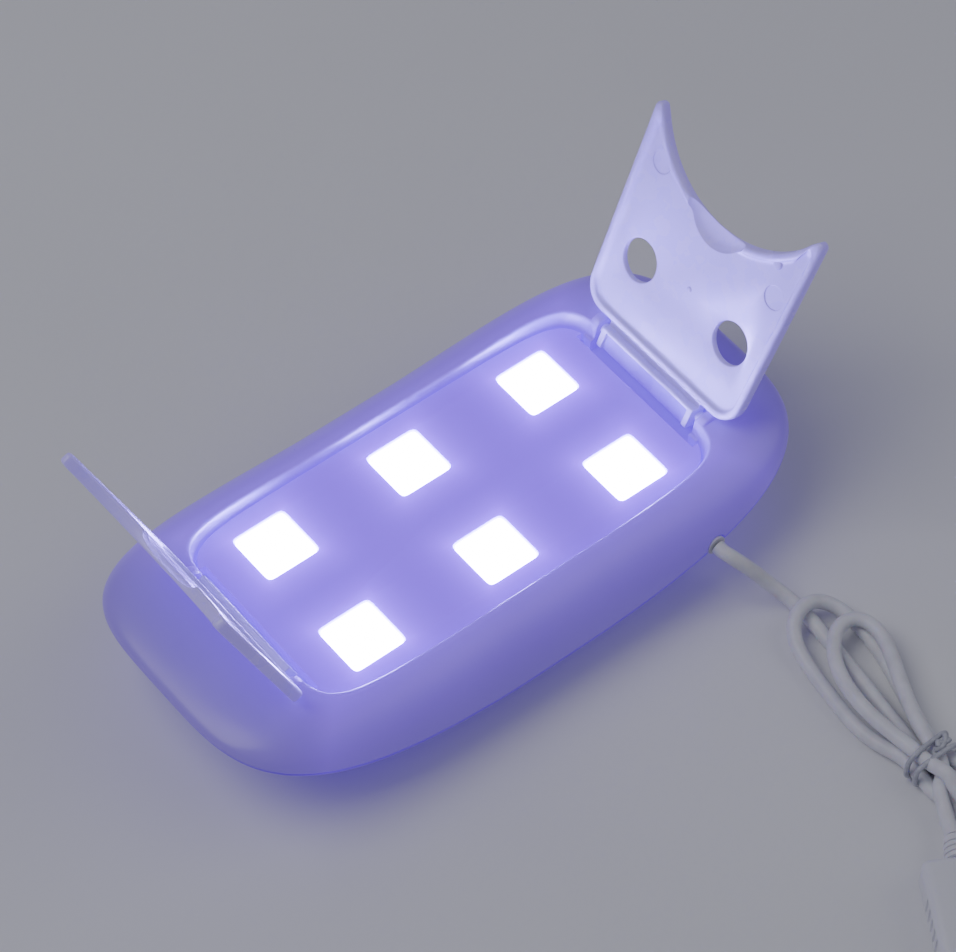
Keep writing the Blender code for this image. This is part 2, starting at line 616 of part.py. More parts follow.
def hank_outline():
    """Bundle of folded cord seen from above: loops near the lamp, a waist at the tie, a long far half."""
    stations = ((43.5, -57.0, 8.6), (41.0, -70.0, 6.6), (39.2, -82.5, 3.9), (39.0, -90.0, 3.8),
                (41.0, -99.0, 5.6), (45.0, -115.0, 7.0), (49.0, -140.0, 7.1), (51.2, -163.0, 7.0))
    centres = [Vector((x, y)) * MM for x, y, _ in stations]
    widths = [w * MM for _, _, w in stations]
    left, right = [], []
    for i, (centre, width) in enumerate(zip(centres, widths)):
        before, after = centres[max(i - 1, 0)], centres[min(i + 1, len(centres) - 1)]
        along = (after - before).normalized()
        across = Vector((-along.y, along.x))
        left.append(centre + across * width)
        right.append(centre - across * width)
    first, last = centres[0], centres[-1]
    near = [first + (Matrix.Rotation(-pi * k / 8, 2) @ (right[0] - first)) for k in range(1, 8)]
    far = [last + (Matrix.Rotation(-pi * k / 8, 2) @ (left[-1] - last)) for k in range(1, 8)]
    points = left + far + list(reversed(right)) + near
    return [(p.x, p.y) for p in points]


def make_tie():
    """Flat band around the hank's waist."""
    outer = superellipse((5.4 * MM, 3.6 * MM), 6, 6, 24)
    inner = superellipse((4.8 * MM, 3.1 * MM), 8, 8, 24)
    stand = Matrix.Translation((39.05 * MM, -86.4 * MM, 3.65 * MM)) @ Matrix.Rotation(radians(90), 4, "X")
    curve_solid("cord_tie", "tie", [outer, inner], 5.0 * MM, stand)


def make_plug():
    """USB plug lying on the surface: tapered relief, overmould, steel shell and its tongue."""
    frame = Matrix.Translation(PLUG_START) @ Matrix.Rotation(PLUG_TURN, 4, "Z")
    forward = frame @ Matrix.Rotation(radians(90), 4, "Y")
    object_from("plug_strain_relief", cylinder_mesh(1.8 * MM, 5.3 * MM, 24, 2.8 * MM), "cord",
                forward @ Matrix.Translation((0, 0, -1.0 * MM)))
    length, width, height = PLUG_BODY_SIZE
    start = 4.6 * MM
    body = box_mesh((start, -width / 2, -height / 2), (start + length, width / 2, height / 2), 1.6 * MM)
    object_from("usb_plug_body", body, "white_shell", frame)
    mouth = start + length + GAP
    reach = 18.5 * MM
    sleeve = box_mesh((mouth, -6.0 * MM, -2.25 * MM), (mouth + reach, 6.0 * MM, 2.25 * MM), 0.3 * MM)
    shell = object_from("usb_plug_shell", sleeve, "steel", frame)
    hollow = box_mesh((mouth + 1.0 * MM, -5.7 * MM, -1.95 * MM), (mouth + reach + MM, 5.7 * MM, 1.95 * MM))
    boolean(shell, object_from("hollow", hollow, None, frame))
    for y in (-2.9 * MM, 2.9 * MM):
        window = box_mesh((mouth + 8 * MM, y - 1.2 * MM, 1.0 * MM), (mouth + 10.4 * MM, y + 1.2 * MM, 4 * MM))
        boolean(shell, object_from("window", window, None, frame))
    end = mouth + reach - 0.6 * MM
    tongue = box_mesh((mouth + 1.3 * MM, -5.4 * MM, -1.65 * MM), (end, 5.4 * MM, 0.1 * MM), 0.2 * MM)
    object_from("usb_plug_tongue", tongue, "black", frame)


clear_scene()
PARTS = collection("uv_led_nail_lamp")
CUTTERS = collection("cutters")
make_base_shell()
make_top_shell()
make_panel()
make_leg("right_leg", 1)
make_leg("left_leg", -1)
make_leds()
make_control_board()
make_screws()
make_button()
make_lead()
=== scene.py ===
"""Looks of the folding USB nail lamp: camera, lead, fine surfaces, materials and studio."""
import json
from math import asin, atan2, cos, pi, radians, sin

import bmesh
import bpy
import numpy as np
from mathutils import Matrix, Vector


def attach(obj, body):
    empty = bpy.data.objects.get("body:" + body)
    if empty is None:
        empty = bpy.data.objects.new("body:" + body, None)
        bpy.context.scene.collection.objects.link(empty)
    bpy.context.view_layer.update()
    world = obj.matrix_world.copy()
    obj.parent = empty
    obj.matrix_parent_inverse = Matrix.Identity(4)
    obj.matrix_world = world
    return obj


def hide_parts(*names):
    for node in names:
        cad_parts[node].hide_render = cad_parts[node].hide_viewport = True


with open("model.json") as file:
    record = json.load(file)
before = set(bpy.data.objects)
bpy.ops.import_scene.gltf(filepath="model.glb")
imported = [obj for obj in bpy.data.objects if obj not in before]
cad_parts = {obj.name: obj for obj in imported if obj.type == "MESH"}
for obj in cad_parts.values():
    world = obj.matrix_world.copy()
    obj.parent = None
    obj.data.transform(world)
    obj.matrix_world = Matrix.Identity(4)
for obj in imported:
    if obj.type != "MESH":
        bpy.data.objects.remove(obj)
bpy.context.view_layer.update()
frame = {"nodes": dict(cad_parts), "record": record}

MM = 0.001

# Panel and its windows
PANEL_Z = 19.5 * MM
PANEL_POWER = (8, 8)
LED_X = (-30 * MM, 0.0, 30 * MM)
LED_Y = (-12.5 * MM, 12.5 * MM)
LENS_SIZE = 10.9 * MM
LENS_POWER = (12, 12)
LENS_POINTS = 64

# Housing
HALF_LENGTH = 64.5 * MM
HALF_WIDTH = 32.8 * MM
EDGE_POWER = (4.3, 3.9)
CREST = (46.3 * MM, 24.1 * MM)
WALL = 1.8 * MM
DOME_DEPTH = 10.2 * MM
SEAM_GAP = 0.25 * MM
AROUND = 176

# Hinges and legs; a leg's own X runs along it, and its own Z points towards the lamp's middle
AXIS_X = 47.3 * MM
AXIS_Z = PANEL_Z + 1.6 * MM
LEG_LEAN = radians(23)
LEG_INNER = 1.3 * MM
LEG_OUTER = -1.0 * MM
TAB_HALF_WIDTH = 12.6 * MM
TAB_RIB = 1.2 * MM
TAB_FRONT = 2.6 * MM
DISH_TOP = 1.2 * MM
DISH_FLOOR = 1.85 * MM

# Lead; the points of its middle line are in millimetres
CORD_RADIUS = 1.4 * MM
TIE_SPOT = (39.05, -86.4)
EXIT = (35.4, -32.6, 12.1)
NEAR_ROUTE = (EXIT, (35.6, -34.2, 11.9), (37.1, -36.9, 10.6), (39.7, -38.7, 7.0), (41.9, -40.9, 3.6),
              (43.6, -43.5, 1.6), (43.9, -48.0, 1.4), (43.2, -54.0, 1.4), (42.4, -60.0, 1.4),
              (41.2, -70.0, 1.4), (39.9, -79.0, 1.6))
LOOP_ONE = ((37.0, -82.0, 1.8), (34.9, -78.5, 1.5), (34.2, -72.5, 1.4), (35.0, -66.0, 1.4),
            (36.0, -59.5, 1.4), (37.0, -53.3, 1.9), (38.7, -49.5, 3.2), (41.6, -47.9, 4.3),
            (45.6, -47.8, 4.1), (48.7, -49.9, 2.4), (49.8, -54.0, 1.4), (49.4, -60.0, 1.4),
            (47.6, -67.0, 1.4), (44.9, -75.0, 1.5), (42.6, -81.5, 1.8))
LOOP_TWO = ((37.0, -80.0, 4.5), (36.4, -74.0, 4.4), (36.8, -68.0, 4.3), (38.4, -62.0, 4.3),
            (41.6, -57.4, 4.3), (45.6, -54.8, 4.3), (49.2, -55.6, 4.3), (50.5, -59.2, 4.3),
            (49.4, -63.8, 4.3), (47.0, -68.5, 4.3), (44.0, -74.5, 4.4), (41.6, -80.5, 4.5))
FAR_SPINE = ((40.6, -96.0), (43.6, -108.0), (46.4, -122.0), (48.8, -138.0), (50.2, -152.0), (51.2, -162.5))
FAR_HALF_GAPS = (4.0, 5.1, 5.5, 5.6, 5.6, 5.5)
TAIL_ROUTE = ((36.6, -91.5, 4.2), (34.6, -94.4, 3.2), (33.1, -97.0, 3.0), (31.6, -99.6, 3.6),
              (31.0, -100.7, 3.72))
PLUG_START = Vector((30.4, -101.7, 3.75)) * MM
PLUG_TURN = atan2(-0.852, -0.523)
PLUG_HALF_WIDTH = 7.3 * MM

# Camera and light
CAMERA_TARGET = Vector((7.88, 2.33, 19.5)) * MM
CAMERA_DISTANCE = 706.34 * MM
CAMERA_AZIMUTH = radians(39.62)
CAMERA_HEIGHT = radians(52.43)
CAMERA_ROLL = radians(1.12)
CAMERA_LENS = 147.6
# Colour of the painted glow on the housing, panel and legs, standing in for the LEDs' light
VIOLET = (0.17, 0.02, 1.0)
LENS_LIGHT = 120.0
WORLD_COLOUR = (0.72, 0.74, 1.0, 1)
WORLD_LIGHT = 0.19
LAMPS = (("key", (-0.5, 0.25, 0.9), 0.7, 3.4), ("fill", (0.7, -0.5, 0.7), 0.9, 1.4))

SHARP_ANGLE = radians(32)


def in_mm(*points):
    """Points or (radius, height) pairs given in millimetres, turned into metres."""
    return [tuple(value * MM for value in point) for point in points]


# ---------------------------------------------------------------- camera

def make_camera():
    """Long lens from the front left, high above the lamp."""
    flat = cos(CAMERA_HEIGHT)
    back = Vector((-sin(CAMERA_AZIMUTH) * flat, -cos(CAMERA_AZIMUTH) * flat, sin(CAMERA_HEIGHT)))
    level = Vector((cos(CAMERA_AZIMUTH), -sin(CAMERA_AZIMUTH), 0))
    upright = back.cross(level)
    right = level * cos(CAMERA_ROLL) + upright * sin(CAMERA_ROLL)
    up = upright * cos(CAMERA_ROLL) - level * sin(CAMERA_ROLL)
    data = bpy.data.cameras.new("camera")
    data.lens = CAMERA_LENS
    data.sensor_width = 36
    data.clip_start = 0.01
    camera = bpy.data.objects.new("camera", data)
    facing = Matrix((right, up, back)).transposed().to_4x4()
    camera.matrix_world = Matrix.Translation(CAMERA_TARGET + back * CAMERA_DISTANCE) @ facing
    bpy.context.scene.collection.objects.link(camera)
    bpy.context.scene.camera = camera


# ---------------------------------------------------------------- materials

class Shader:
    """Small builder for one Principled material."""

    def __init__(self, name, colour, roughness, metallic=0.0):
        self.material = bpy.data.materials.new(name)
        self.material.use_nodes = True
        self.nodes = self.material.node_tree.nodes
        self.links = self.material.node_tree.links
        self.bsdf = self.nodes["Principled BSDF"]
        self.put("Base Color", (*colour, 1))
        self.put("Roughness", roughness)
        self.put("Metallic", metallic)

    def put(self, name, value):
        """Set or link an input of the Principled shader."""
        self.set(self.bsdf.inputs[name], value)

    def glow(self, strength):
        """Painted violet glow on a part that is no lamp, standing in for the LEDs' light coming through the
        plastic.
        """
        self.put("Emission Strength", strength)
        self.put("Emission Color", (*VIOLET, 1))

    def node(self, kind, **inputs):
        made = self.nodes.new(kind)
        for key, value in inputs.items():
            self.set(made.inputs[key.replace("_", " ")], value)
        return made

    def set(self, socket, value):
        """Link an output to the socket, or give the socket a constant."""
        if isinstance(value, bpy.types.NodeSocket):
            self.links.new(value, socket)
        else:
            socket.default_value = value

    def math(self, operation, a, b=0.0):
        made = self.nodes.new("ShaderNodeMath")
        made.operation = operation
        self.set(made.inputs[0], a)
        self.set(made.inputs[1], b)
        return made.outputs[0]

    def falloff(self, value, rate):
        """1 where the value is 0, fading exponentially at the given rate."""
        return self.math("POWER", 2.718, self.math("MULTIPLY", value, -rate))

    def separated(self, kind="Object"):
        """X, Y and Z of the texture coordinates."""
        return self.node("ShaderNodeSeparateXYZ", Vector=self.coordinates(kind)).outputs

    def coordinates(self, kind="Object"):
        return self.nodes.new("ShaderNodeTexCoord").outputs[kind]

    def noise(self, scale, detail=3.0, vector=None, roughness=0.5):
        """Noise over the object, from 0 to 1."""
        made = self.node("ShaderNodeTexNoise", Scale=scale, Detail=detail, Roughness=roughness)
        self.set(made.inputs["Vector"], vector or self.coordinates())
        return made.outputs["Fac"]

    def ramp(self, value, stops):
        """Colour of a value, from (place, colour) stops."""
        made = self.nodes.new("ShaderNodeValToRGB")
        self.set(made.inputs["Fac"], value)
        elements = made.color_ramp.elements
        while len(elements) < len(stops):
            elements.new(0.5)
        for element, (place, colour) in zip(elements, stops):
            element.position = place
            element.color = (*colour, 1)
        return made.outputs["Color"]

    def spread(self, value, low, high):
        """A value from 0 to 1, mapped from low to high."""
        made = self.node("ShaderNodeMapRange", To_Min=low, To_Max=high)
        self.set(made.inputs["Value"], value)
        return made.outputs["Result"]

    def bump(self, height, strength, distance, normal=None):
        """Normal that follows a height, over another normal if one is given."""
        made = self.node("ShaderNodeBump", Strength=strength, Distance=distance)
        self.set(made.inputs["Height"], height)
        if normal is not None:
            self.set(made.inputs["Normal"], normal)
        return made.outputs["Normal"]


def plastic(name, colour, roughness, softness=0.25):
    """Moulded ABS: faint flow marks in the colour, uneven gloss, fine grain and soft moulded edges."""
    s = Shader(name, colour, roughness)
    darker = tuple(c * 0.94 for c in colour)
    flow = s.noise(38, 4)
    s.put("Base Color", s.ramp(flow, ((0.3, darker), (0.7, colour))))
    gloss = s.noise(160, 5)
    s.put("Roughness", s.spread(gloss, roughness - 0.07, roughness + 0.1))
    edge = s.node("ShaderNodeBevel", Radius=0.25 * MM)
    edge.samples = 4
    orange_peel = s.bump(s.noise(420, 2), 0.05, 0.0003, edge.outputs["Normal"])
    s.put("Normal", s.bump(s.noise(3500, 2), 0.06, 0.00008, orange_peel))
    s.put("Subsurface Weight", softness)
    s.put("Subsurface Radius", (1.0, 0.9, 1.1))
    s.put("Subsurface Scale", 0.0012)
    s.put("Coat Weight", 0.15)
    s.put("Coat Roughness", 0.18)
    return s


def window_distance(s):
    """Distance in millimetres from the edge of the nearest square window, from object coordinates."""
    place = s.separated()
    x = s.math("ABSOLUTE", place["X"])
    near_x = s.math("MINIMUM", x, s.math("ABSOLUTE", s.math("SUBTRACT", x, LED_X[-1])))
    near_y = s.math("ABSOLUTE", s.math("SUBTRACT", s.math("ABSOLUTE", place["Y"]), LED_Y[-1]))
    half = LENS_SIZE / 2 - 0.05 * MM
    out_x = s.math("MAXIMUM", s.math("SUBTRACT", near_x, half), 0.0)
    out_y = s.math("MAXIMUM", s.math("SUBTRACT", near_y, half), 0.0)
    square = s.math("ADD", s.math("MULTIPLY", out_x, out_x), s.math("MULTIPLY", out_y, out_y))
    return s.math("MULTIPLY", s.math("SQRT", square), 1 / MM)


def panel_material():
    """White panel with painted LED light: a darker violet base colour and a painted glow over it all,
    brightest round each window, standing in for the LEDs' light coming through.
    """
    # The darker violet base colour of this white panel is painted LED light and shade
    s = plastic("panel_plastic", (0.27, 0.21, 0.56), 0.36, softness=0.1)
    near = s.falloff(window_distance(s), 0.42)
    # Painted glow over the whole panel, brightest round each window
    s.glow(s.spread(near, 1.25, 3.8))
    return s.material


def shell_material():
    """Thin white housing with painted LED light: a darker violet base colour and a painted violet glow
    standing in for the light leaking through it, most near the rim and higher up.
    """
    # The darker violet base colour, unlike the plain white shell plastic, is painted LED light and shade
    s = plastic("shell_plastic", (0.36, 0.31, 0.62), 0.3)
    place = s.separated()
    past_x = s.math("SUBTRACT", s.math("ABSOLUTE", place["X"]), 43 * MM)
    past_y = s.math("SUBTRACT", s.math("ABSOLUTE", place["Y"]), 22 * MM)
    past = s.math("MAXIMUM", s.math("MAXIMUM", past_x, past_y), 0.0)
    near = s.falloff(past, 110.0)
    height = s.math("MULTIPLY", s.math("MAXIMUM", place["Z"], 0.0), 48.0)
    # Strength of the painted glow: strongest near the rim and higher up, a little uneven
    painted_leak_glow = s.math("MULTIPLY", s.math("MULTIPLY", near, height), s.spread(s.noise(60, 3), 0.9, 1.1))
    s.glow(s.spread(painted_leak_glow, 0.12, 0.95))
    return s.material


def leg_material():
    """White leg with painted light and shade: a violet-tinted base colour and a painted violet glow
    standing in for the light behind it, and in the recess of its hinge tab a darker violet colour as
    painted shade, with more painted glow.
    """
    # The violet tint of this white leg's base colour is painted LED light
    s = plastic("leg_plastic", (0.66, 0.65, 0.84), 0.26)
    place = s.separated()
    # Mask of the recess of the hinge tab, which gets painted shade and extra painted glow
    dish_half = TAB_HALF_WIDTH - TAB_RIB - 0.2 * MM
    inside_y = s.math("LESS_THAN", s.math("ABSOLUTE", place["Y"]), dish_half)
    below = s.math("LESS_THAN", place["X"], DISH_TOP - 0.15 * MM)
    sunk = s.math("LESS_THAN", place["Z"], DISH_FLOOR + 0.35 * MM)
    front = s.math("GREATER_THAN", place["Z"], 1.2 * MM)
    recess = s.math("MULTIPLY", s.math("MULTIPLY", inside_y, below), s.math("MULTIPLY", sunk, front))
    # Painted violet glow over the whole leg, a little uneven
    uneven_painted_glow = s.spread(s.noise(45, 3), 0.26, 0.36)
    s.glow(s.math("ADD", s.math("MULTIPLY", recess, 0.5), uneven_painted_glow))
    # Painted shade: darker violet base colour in the recess
    mix = s.nodes.new("ShaderNodeMix")
    mix.data_type = "RGBA"
    s.set(mix.inputs["Factor"], recess)
    s.set(mix.inputs["A"], s.bsdf.inputs["Base Color"].links[0].from_socket)
    stops = ((0.3, (0.26, 0.21, 0.58)), (0.7, (0.31, 0.26, 0.64)))
    s.set(mix.inputs["B"], s.ramp(s.noise(90, 3), stops))
    s.put("Base Color", mix.outputs["Result"])
    return s.material


def lens_material():
    """Lit window: white hot in the middle and violet at its edges, uneven where the diffuser is."""
    s = Shader("lit_lens", (0.9, 0.88, 1.0), 0.2)
    place = s.separated("Generated")
    off_x = s.math("ABSOLUTE", s.math("SUBTRACT", place["X"], 0.5))
    off_y = s.math("ABSOLUTE", s.math("SUBTRACT", place["Y"], 0.5))
    edge = s.math("MAXIMUM", off_x, off_y)
    s.put("Emission Color", s.ramp(edge, ((0.33, (0.38, 0.31, 1.0)), (0.49, (0.27, 0.17, 1.0)))))
    fade = s.spread(s.math("POWER", s.math("MULTIPLY", edge, 2.0), 6.0), LENS_LIGHT, LENS_LIGHT * 0.55)
    s.put("Emission Strength", s.math("MULTIPLY", fade, s.spread(s.noise(900, 2), 0.9, 1.1)))
    s.put("Normal", s.bump(s.noise(1500, 1), 0.1, 0.0001))
    return s.material


def rubber_material(name, colour, roughness):
    """Soft PVC of the lead: matt, slightly dusty, with faint lengthwise unevenness."""
    s = Shader(name, colour, roughness)
    dusty = tuple(c * 0.9 for c in colour)
    s.put("Base Color", s.ramp(s.noise(300, 5), ((0.35, dusty), (0.65, colour))))
    s.put("Roughness", s.spread(s.noise(120, 4), roughness - 0.1, roughness + 0.1))
    s.put("Normal", s.bump(s.noise(900, 3), 0.12, 0.0001))
    s.put("Subsurface Weight", 0.15)
    s.put("Subsurface Scale", 0.0008)
    s.put("Sheen Weight", 0.12)
    return s.material


def metal_material(name, colour, roughness):
    """Plated steel with fine rolling lines and small scuffs."""
    s = Shader(name, colour, roughness, 1.0)
    stretch = s.node("ShaderNodeMapping", Vector=s.coordinates(), Scale=(60, 60, 2500))
    lines = s.noise(1, 4, stretch.outputs["Vector"])
    scuffs = s.noise(700, 6, roughness=0.7)
    s.put("Roughness", s.spread(lines, roughness - 0.08, roughness + 0.16))
    scuffed = tuple(c * 0.82 for c in colour)
    s.put("Base Color", s.ramp(scuffs, ((0.3, scuffed), (0.6, colour))))
    s.put("Normal", s.bump(lines, 0.08, 0.00005))
    return s.material


def board_material():
    """White solder mask over faint copper tracks."""
    s = Shader("solder_mask", (0.82, 0.84, 0.82), 0.35)
    cells = s.node("ShaderNodeTexBrick", Vector=s.coordinates(), Scale=220.0)
    cells.inputs["Color1"].default_value = (0.80, 0.83, 0.80, 1)
    cells.inputs["Color2"].default_value = (0.84, 0.86, 0.84, 1)
    cells.inputs["Mortar"].default_value = (0.55, 0.62, 0.52, 1)
    cells.inputs["Mortar Size"].default_value = 0.04
    s.put("Base Color", cells.outputs["Color"])
    s.put("Normal", s.bump(s.noise(2500, 2), 0.1, 0.00005))
    return s.material


def tie_material():
    """Pale plastic-covered wire with pressed ribs across it."""
    s = Shader("tie_band", (0.50, 0.51, 0.56), 0.3)
    wave = s.node("ShaderNodeTexWave", Vector=s.coordinates(), Scale=900.0, Distortion=0.6)
    s.put("Normal", s.bump(wave.outputs["Fac"], 0.35, 0.0001))
    stops = ((0.3, (0.42, 0.43, 0.48)), (0.7, (0.58, 0.59, 0.65)))
    s.put("Base Color", s.ramp(s.noise(800, 3), stops))
    return s.material


# ---------------------------------------------------------------- mesh helpers

def shade(target):
    """Smooth shading with sharp edges kept."""
    target.data.shade_smooth()
    target.data.set_sharp_from_angle(angle=SHARP_ANGLE)


def new_object(name, bm, look, place=Matrix.Identity(4)):
    """Object from a bmesh, which it uses up."""
    bmesh.ops.recalc_face_normals(bm, faces=bm.faces)
    mesh = bpy.data.meshes.new(name)
    bm.to_mesh(mesh)
    bm.free()
    made = bpy.data.objects.new(name, mesh)
    shade(made)
    made.matrix_world = place
    bpy.context.scene.collection.objects.link(made)
    if look is not None:
        mesh.materials.append(look)
    return made


def skin(rings, closed):
    """Surface over rings of equal length; closed joins last to first, else both ends get a cap."""
    bm = bmesh.new()
    layers = [[bm.verts.new(point) for point in ring] for ring in rings]
    pairs = list(zip(layers, layers[1:]))
    if closed:
        pairs.append((layers[-1], layers[0]))
    else:
        bm.faces.new(layers[0])
        bm.faces.new(layers[-1])
    count = len(layers[0])
    for low, high in pairs:
        for i in range(count):
            j = (i + 1) % count
            bm.faces.new((low[i], low[j], high[j], high[i]))
    return bm


def rounded_box(low, high, edge, segments=3):
    """Box between two corners, with rounded edges where the edge is more than 0."""
    bm = bmesh.new()
    bmesh.ops.create_cube(bm, size=1.0)
    size = Vector(high) - Vector(low)
    middle = (Vector(high) + Vector(low)) / 2
    bmesh.ops.transform(bm, verts=bm.verts, matrix=Matrix.Translation(middle) @ Matrix.Diagonal((*size, 1)))
    if edge:
        bmesh.ops.bevel(bm, geom=bm.edges[:], offset=edge, segments=segments, affect="EDGES", profile=0.5)
    return bm


def turned(profile, segments=48):
    """Closed turned solid from (radius, height) pairs; the axis is Z."""
    rings = [[(r * cos(2 * pi * i / segments), r * sin(2 * pi * i / segments), z) for i in range(segments)]
             for r, z in profile]
    return skin(rings, closed=False)


def cut(target, tool, operation="DIFFERENCE"):
    """Exact Boolean of the target with the tool, which it uses up."""
    step = target.modifiers.new("cut", "BOOLEAN")
    step.operation = operation
    step.solver = "EXACT"
    step.object = tool
    bpy.context.view_layer.update()
    graph = bpy.context.evaluated_depsgraph_get()
    result = bpy.data.meshes.new_from_object(target.evaluated_get(graph), depsgraph=graph)
    target.modifiers.clear()
    target.data = result
    bpy.data.objects.remove(tool, do_unlink=True)


def finish_piece(piece, body, slot, *nodes):
    """Body that the piece rides on, its material slot (not used) and the CAD nodes that it replaces."""
    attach(piece, body)
    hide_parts(*nodes)


def plate(name, outlines, thick, edge, look, place):
    """Flat outline with holes, extruded, with rounded edges all round."""
    data = bpy.data.curves.new(name, "CURVE")
    data.dimensions = "2D"
    data.fill_mode = "BOTH"
    data.extrude = thick / 2 - edge
    data.bevel_depth = edge
    data.bevel_resolution = 2
    data.offset = -edge
    for outline in outlines:
        spline = data.splines.new("POLY")
        spline.points.add(len(outline) - 1)
        for point, (x, y) in zip(spline.points, outline):
            point.co = (x, y, 0, 1)
        spline.use_cyclic_u = True
    curve = bpy.data.objects.new(name, data)
    bpy.context.scene.collection.objects.link(curve)
    bpy.context.view_layer.update()
    graph = bpy.context.evaluated_depsgraph_get()
    mesh = bpy.data.meshes.new_from_object(curve.evaluated_get(graph), depsgraph=graph)
    bpy.data.objects.remove(curve, do_unlink=True)
    bm = bmesh.new()
    bm.from_mesh(mesh)
    bmesh.ops.remove_doubles(bm, verts=bm.verts, dist=0.000005)
    bmesh.ops.transform(bm, verts=bm.verts, matrix=place)
    return new_object(name, bm, look)


def superellipse(half, power, count):
    """Closed outline between an ellipse (power 2) and a rectangle (high power)."""
    power_x, power_y = power
    points = []
    for i in range(count):
        angle = 2 * pi * (i + 0.5) / count
        c, s = cos(angle), sin(angle)
        x = half[0] * abs(c) ** (2 / power_x) * (1 if c > 0 else -1)
        y = half[1] * abs(s) ** (2 / power_y) * (1 if s > 0 else -1)
        points.append((x, y))
    return points


# ---------------------------------------------------------------- lead

def tube(name, lines, radius, look):
    """Round tubes with capped ends along lines of points in metres."""
    data = bpy.data.curves.new(name, "CURVE")
    data.dimensions = "3D"
    data.bevel_depth = radius
    data.bevel_resolution = 3
    data.use_fill_caps = True
    for points in lines:
        spline = data.splines.new("POLY")
        spline.points.add(len(points) - 1)
        for point, where in zip(spline.points, points):
            point.co = (*where, 1)
        spline.use_smooth = True
    data.materials.append(look)
    made = bpy.data.objects.new(name, data)
    bpy.context.scene.collection.objects.link(made)
    return made


def far_fold(height, out_offset, back_offset):
    """Half of the hank beyond the tie: out on the right, round the end and back on the left."""
    out = [(x + half, y, height) for (x, y), half in zip(FAR_SPINE, FAR_HALF_GAPS)]
    back = [(x - half, y, height) for (x, y), half in zip(FAR_SPINE, FAR_HALF_GAPS)]
    x, y = FAR_SPINE[-1]
    radius = FAR_HALF_GAPS[-1]
    angles = [pi * k / 6 for k in range(1, 6)]
    turn = [(x + radius * cos(a) + 0.4, y - radius * sin(a), height) for a in angles]
    start = (TIE_SPOT[0] + out_offset, TIE_SPOT[1] - 4.5, height)
    end = (TIE_SPOT[0] + back_offset, TIE_SPOT[1] - 4.5, height)
    return [start] + out + turn + list(reversed(back)) + [end]


def at_tie(offset, height):
    """Two points of a strand inside the tie."""
    return [(TIE_SPOT[0] + offset, TIE_SPOT[1] + dy, height) for dy in (1.5, -1.5)]


def cord_route():
    """The whole lead from the housing to the plug, in millimetres."""
    route = list(NEAR_ROUTE) + at_tie(0.0, 2.0)
    route += far_fold(1.5, 1.0, -3.2)
    route += list(reversed(at_tie(-2.9, 2.0))) + list(LOOP_ONE) + at_tie(2.9, 2.0)
    route += far_fold(4.4, 3.4, -1.6)
    route += list(reversed(at_tie(-1.45, 4.55))) + list(LOOP_TWO) + at_tie(1.45, 4.55)
    return route + list(TAIL_ROUTE)


def spaced(points, step):
    """Evenly spaced points on the Catmull-Rom curve through the given ones."""
    knots = np.array(points, float)
    padded = np.vstack((2 * knots[0] - knots[1], knots, 2 * knots[-1] - knots[-2]))
    fine = []
    for i in range(len(knots) - 1):
        a, b, c, d = padded[i:i + 4]
        for t in np.linspace(0, 1, 24, endpoint=False):
            fine.append(0.5 * (2 * b + (c - a) * t + (2 * a - 5 * b + 4 * c - d) * t ** 2
                               + (3 * b - a - 3 * c + d) * t ** 3))
    fine = np.array(fine + [knots[-1]])
    along = np.concatenate(([0], np.cumsum(np.linalg.norm(np.diff(fine, axis=0), axis=1))))
    where = np.linspace(0, along[-1], int(round(along[-1] / step)) + 1)
    return np.stack([np.interp(where, along, fine[:, k]) for k in range(3)], axis=1)


def settle(points, diameter, rounds=260):
    """Push the strands apart until none lies in another, keeping the lead's length and its ends."""
    home = points.copy()
    rest = np.linalg.norm(np.diff(points, axis=0), axis=1).mean()
    count = len(points)
    index = np.arange(count)
    apart = np.abs(index[:, None] - index[None, :]) * rest > diameter * 2.2
    firm = np.zeros(count, bool)
    firm[:3] = True
    firm[-3:] = True
    for _ in range(rounds):
        points += 0.03 * (home - points)
        smooth = (points[:-2] + points[2:]) / 2
        points[1:-1] += 0.25 * (smooth - points[1:-1])
        for start in (0, 1):
            a, b = points[start:-1:2], points[start + 1::2]
            a, b = a[:len(b)], b[:len(a)]
            line = b - a
            length = np.linalg.norm(line, axis=1, keepdims=True)
            fix = 0.5 * (length - rest) / length * line
            a += fix
            b -= fix
        for _ in range(2):
            gap = points[:, None, :] - points[None, :, :]
            far = np.sqrt((gap ** 2).sum(2)) + 1e-9
            push = np.where(apart & (far < diameter * 1.02), diameter * 1.02 - far, 0.0)
            move = (gap / far[:, :, None] * push[:, :, None]).sum(1)
            hits = np.maximum((push > 0).sum(1), 1)
            points += 0.5 * move / hits[:, None] ** 0.5
            points[:, 2] = np.maximum(points[:, 2], diameter / 2)
        points[firm] = home[firm]
    return points


def make_cord(look):
    """The whole lead as one strand, in two loops and a folded hank."""
    line = settle(spaced(cord_route(), 1.5), 2 * CORD_RADIUS / MM)
    cord = tube("usb_cord", [spaced(line, 0.8) * MM], CORD_RADIUS, look)
    finish_piece(cord, "housing", "cord", "usb_cord_lead", "usb_cord_hank", "usb_cord_tail")
    return cord


